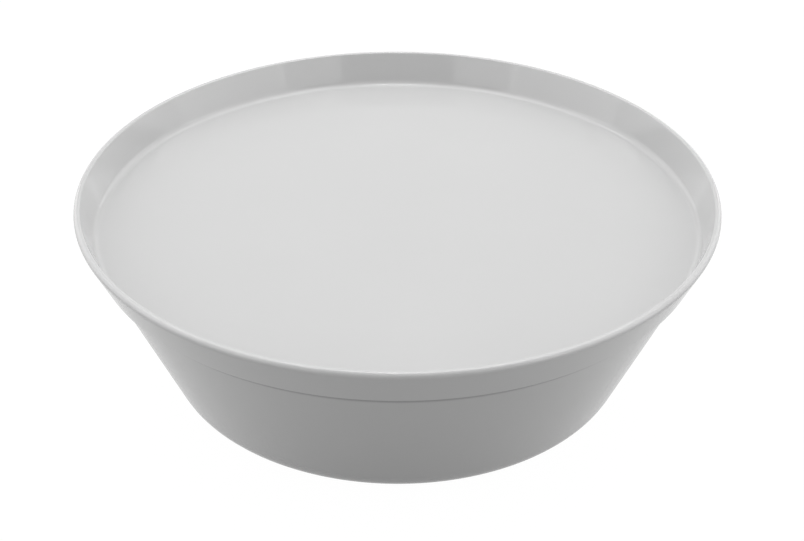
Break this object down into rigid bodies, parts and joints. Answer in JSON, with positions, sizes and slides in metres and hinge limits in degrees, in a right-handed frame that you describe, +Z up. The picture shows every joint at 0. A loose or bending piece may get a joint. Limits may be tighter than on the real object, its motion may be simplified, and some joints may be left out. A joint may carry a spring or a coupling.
{
  "type": "lazy susan turntable",
  "caption": "Round rimmed tray that spins on a ball bearing above a flared bowl base with rubber feet.",
  "frame": {"origin": "on the spin axis, at the height of the surface that the feet stand on", "axes": "+Z up along the spin axis; +X through the first foot; the object is round, so X and Y are alike"},
  "size_m": [0.33, 0.33, 0.1047],
  "materials": {
    "tray_plastic": "gloss",
    "bowl_plastic": "satin",
    "deck_plastic": "matt moulded",
    "cage_plastic": "natural nylon",
    "zinc_steel": "zinc plated",
    "ball_steel": "polished",
    "foot_rubber": "matt"
  },
  "bodies": {
    "base": {"base_bowl": "bowl_plastic", "support_deck": "deck_plastic", "pivot_bush": "cage_plastic", "lower_race": "zinc_steel", "lower_race_screw_1": "zinc_steel", "lower_race_screw_2": "zinc_steel", "lower_race_screw_3": "zinc_steel", "lower_race_screw_4": "zinc_steel", "deck_screw_1": "zinc_steel", "deck_screw_2": "zinc_steel", "deck_screw_3": "zinc_steel", "deck_screw_4": "zinc_steel", "deck_screw_5": "zinc_steel", "deck_screw_6": "zinc_steel", "foot_1": "foot_rubber", "foot_2": "foot_rubber", "foot_3": "foot_rubber", "foot_4": "foot_rubber", "foot_5": "foot_rubber", "foot_6": "foot_rubber"},
    "turntable": {"tray": "tray_plastic", "upper_race": "zinc_steel", "pivot_washer": "zinc_steel", "pivot_screw": "zinc_steel", "upper_race_screw_1": "zinc_steel", "upper_race_screw_2": "zinc_steel", "upper_race_screw_3": "zinc_steel", "upper_race_screw_4": "zinc_steel"},
    "cage": {"ball_cage": "cage_plastic"},
    "ball_01": {"ball_01": "ball_steel"},
    "ball_02": {"ball_02": "ball_steel"},
    "ball_03": {"ball_03": "ball_steel"},
    "ball_04": {"ball_04": "ball_steel"},
    "ball_05": {"ball_05": "ball_steel"},
    "ball_06": {"ball_06": "ball_steel"},
    "ball_07": {"ball_07": "ball_steel"},
    "ball_08": {"ball_08": "ball_steel"},
    "ball_09": {"ball_09": "ball_steel"},
    "ball_10": {"ball_10": "ball_steel"},
    "ball_11": {"ball_11": "ball_steel"},
    "ball_12": {"ball_12": "ball_steel"},
    "ball_13": {"ball_13": "ball_steel"},
    "ball_14": {"ball_14": "ball_steel"},
    "ball_15": {"ball_15": "ball_steel"},
    "ball_16": {"ball_16": "ball_steel"}
  },
  "joints": [
    {"name": "tray_spin", "type": "hinge", "parent": "base", "child": "turntable", "pos_m": [0, 0, 0.0782], "axis": [0, 0, 1], "continuous": true},
    {"name": "cage_spin", "type": "hinge", "parent": "base", "child": "cage", "pos_m": [0, 0, 0.0782], "axis": [0, 0, 1], "continuous": true},
    {"name": "ball_01_roll", "type": "hinge", "parent": "cage", "child": "ball_01", "pos_m": [0.075, 0, 0.0782], "axis": [1, 0, 0], "continuous": true},
    {"name": "ball_02_roll", "type": "hinge", "parent": "cage", "child": "ball_02", "pos_m": [0.06929, 0.0287, 0.0782], "axis": [0.9239, 0.3827, 0], "continuous": true},
    {"name": "ball_03_roll", "type": "hinge", "parent": "cage", "child": "ball_03", "pos_m": [0.05303, 0.05303, 0.0782], "axis": [0.7071, 0.7071, 0], "continuous": true},
    {"name": "ball_04_roll", "type": "hinge", "parent": "cage", "child": "ball_04", "pos_m": [0.0287, 0.06929, 0.0782], "axis": [0.3827, 0.9239, 0], "continuous": true},
    {"name": "ball_05_roll", "type": "hinge", "parent": "cage", "child": "ball_05", "pos_m": [0, 0.075, 0.0782], "axis": [0, 1, 0], "continuous": true},
    {"name": "ball_06_roll", "type": "hinge", "parent": "cage", "child": "ball_06", "pos_m": [-0.0287, 0.06929, 0.0782], "axis": [-0.3827, 0.9239, 0], "continuous": true},
    {"name": "ball_07_roll", "type": "hinge", "parent": "cage", "child": "ball_07", "pos_m": [-0.05303, 0.05303, 0.0782], "axis": [-0.7071, 0.7071, 0], "continuous": true},
    {"name": "ball_08_roll", "type": "hinge", "parent": "cage", "child": "ball_08", "pos_m": [-0.06929, 0.0287, 0.0782], "axis": [-0.9239, 0.3827, 0], "continuous": true},
    {"name": "ball_09_roll", "type": "hinge", "parent": "cage", "child": "ball_09", "pos_m": [-0.075, 0, 0.0782], "axis": [-1, 0, 0], "continuous": true},
    {"name": "ball_10_roll", "type": "hinge", "parent": "cage", "child": "ball_10", "pos_m": [-0.06929, -0.0287, 0.0782], "axis": [-0.9239, -0.3827, 0], "continuous": true},
    {"name": "ball_11_roll", "type": "hinge", "parent": "cage", "child": "ball_11", "pos_m": [-0.05303, -0.05303, 0.0782], "axis": [-0.7071, -0.7071, 0], "continuous": true},
    {"name": "ball_12_roll", "type": "hinge", "parent": "cage", "child": "ball_12", "pos_m": [-0.0287, -0.06929, 0.0782], "axis": [-0.3827, -0.9239, 0], "continuous": true},
    {"name": "ball_13_roll", "type": "hinge", "parent": "cage", "child": "ball_13", "pos_m": [0, -0.075, 0.0782], "axis": [0, -1, 0], "continuous": true},
    {"name": "ball_14_roll", "type": "hinge", "parent": "cage", "child": "ball_14", "pos_m": [0.0287, -0.06929, 0.0782], "axis": [0.3827, -0.9239, 0], "continuous": true},
    {"name": "ball_15_roll", "type": "hinge", "parent": "cage", "child": "ball_15", "pos_m": [0.05303, -0.05303, 0.0782], "axis": [0.7071, -0.7071, 0], "continuous": true},
    {"name": "ball_16_roll", "type": "hinge", "parent": "cage", "child": "ball_16", "pos_m": [0.06929, -0.0287, 0.0782], "axis": [0.9239, -0.3827, 0], "continuous": true}
  ],
  "couplings": [
    {"joint": "cage_spin", "follows": "tray_spin", "ratio": 0.5},
    {"joint": "ball_01_roll", "follows": "tray_spin", "ratio": -9.375},
    {"joint": "ball_02_roll", "follows": "tray_spin", "ratio": -9.375},
    {"joint": "ball_03_roll", "follows": "tray_spin", "ratio": -9.375},
    {"joint": "ball_04_roll", "follows": "tray_spin", "ratio": -9.375},
    {"joint": "ball_05_roll", "follows": "tray_spin", "ratio": -9.375},
    {"joint": "ball_06_roll", "follows": "tray_spin", "ratio": -9.375},
    {"joint": "ball_07_roll", "follows": "tray_spin", "ratio": -9.375},
    {"joint": "ball_08_roll", "follows": "tray_spin", "ratio": -9.375},
    {"joint": "ball_09_roll", "follows": "tray_spin", "ratio": -9.375},
    {"joint": "ball_10_roll", "follows": "tray_spin", "ratio": -9.375},
    {"joint": "ball_11_roll", "follows": "tray_spin", "ratio": -9.375},
    {"joint": "ball_12_roll", "follows": "tray_spin", "ratio": -9.375},
    {"joint": "ball_13_roll", "follows": "tray_spin", "ratio": -9.375},
    {"joint": "ball_14_roll", "follows": "tray_spin", "ratio": -9.375},
    {"joint": "ball_15_roll", "follows": "tray_spin", "ratio": -9.375},
    {"joint": "ball_16_roll", "follows": "tray_spin", "ratio": -9.375}
  ]
}
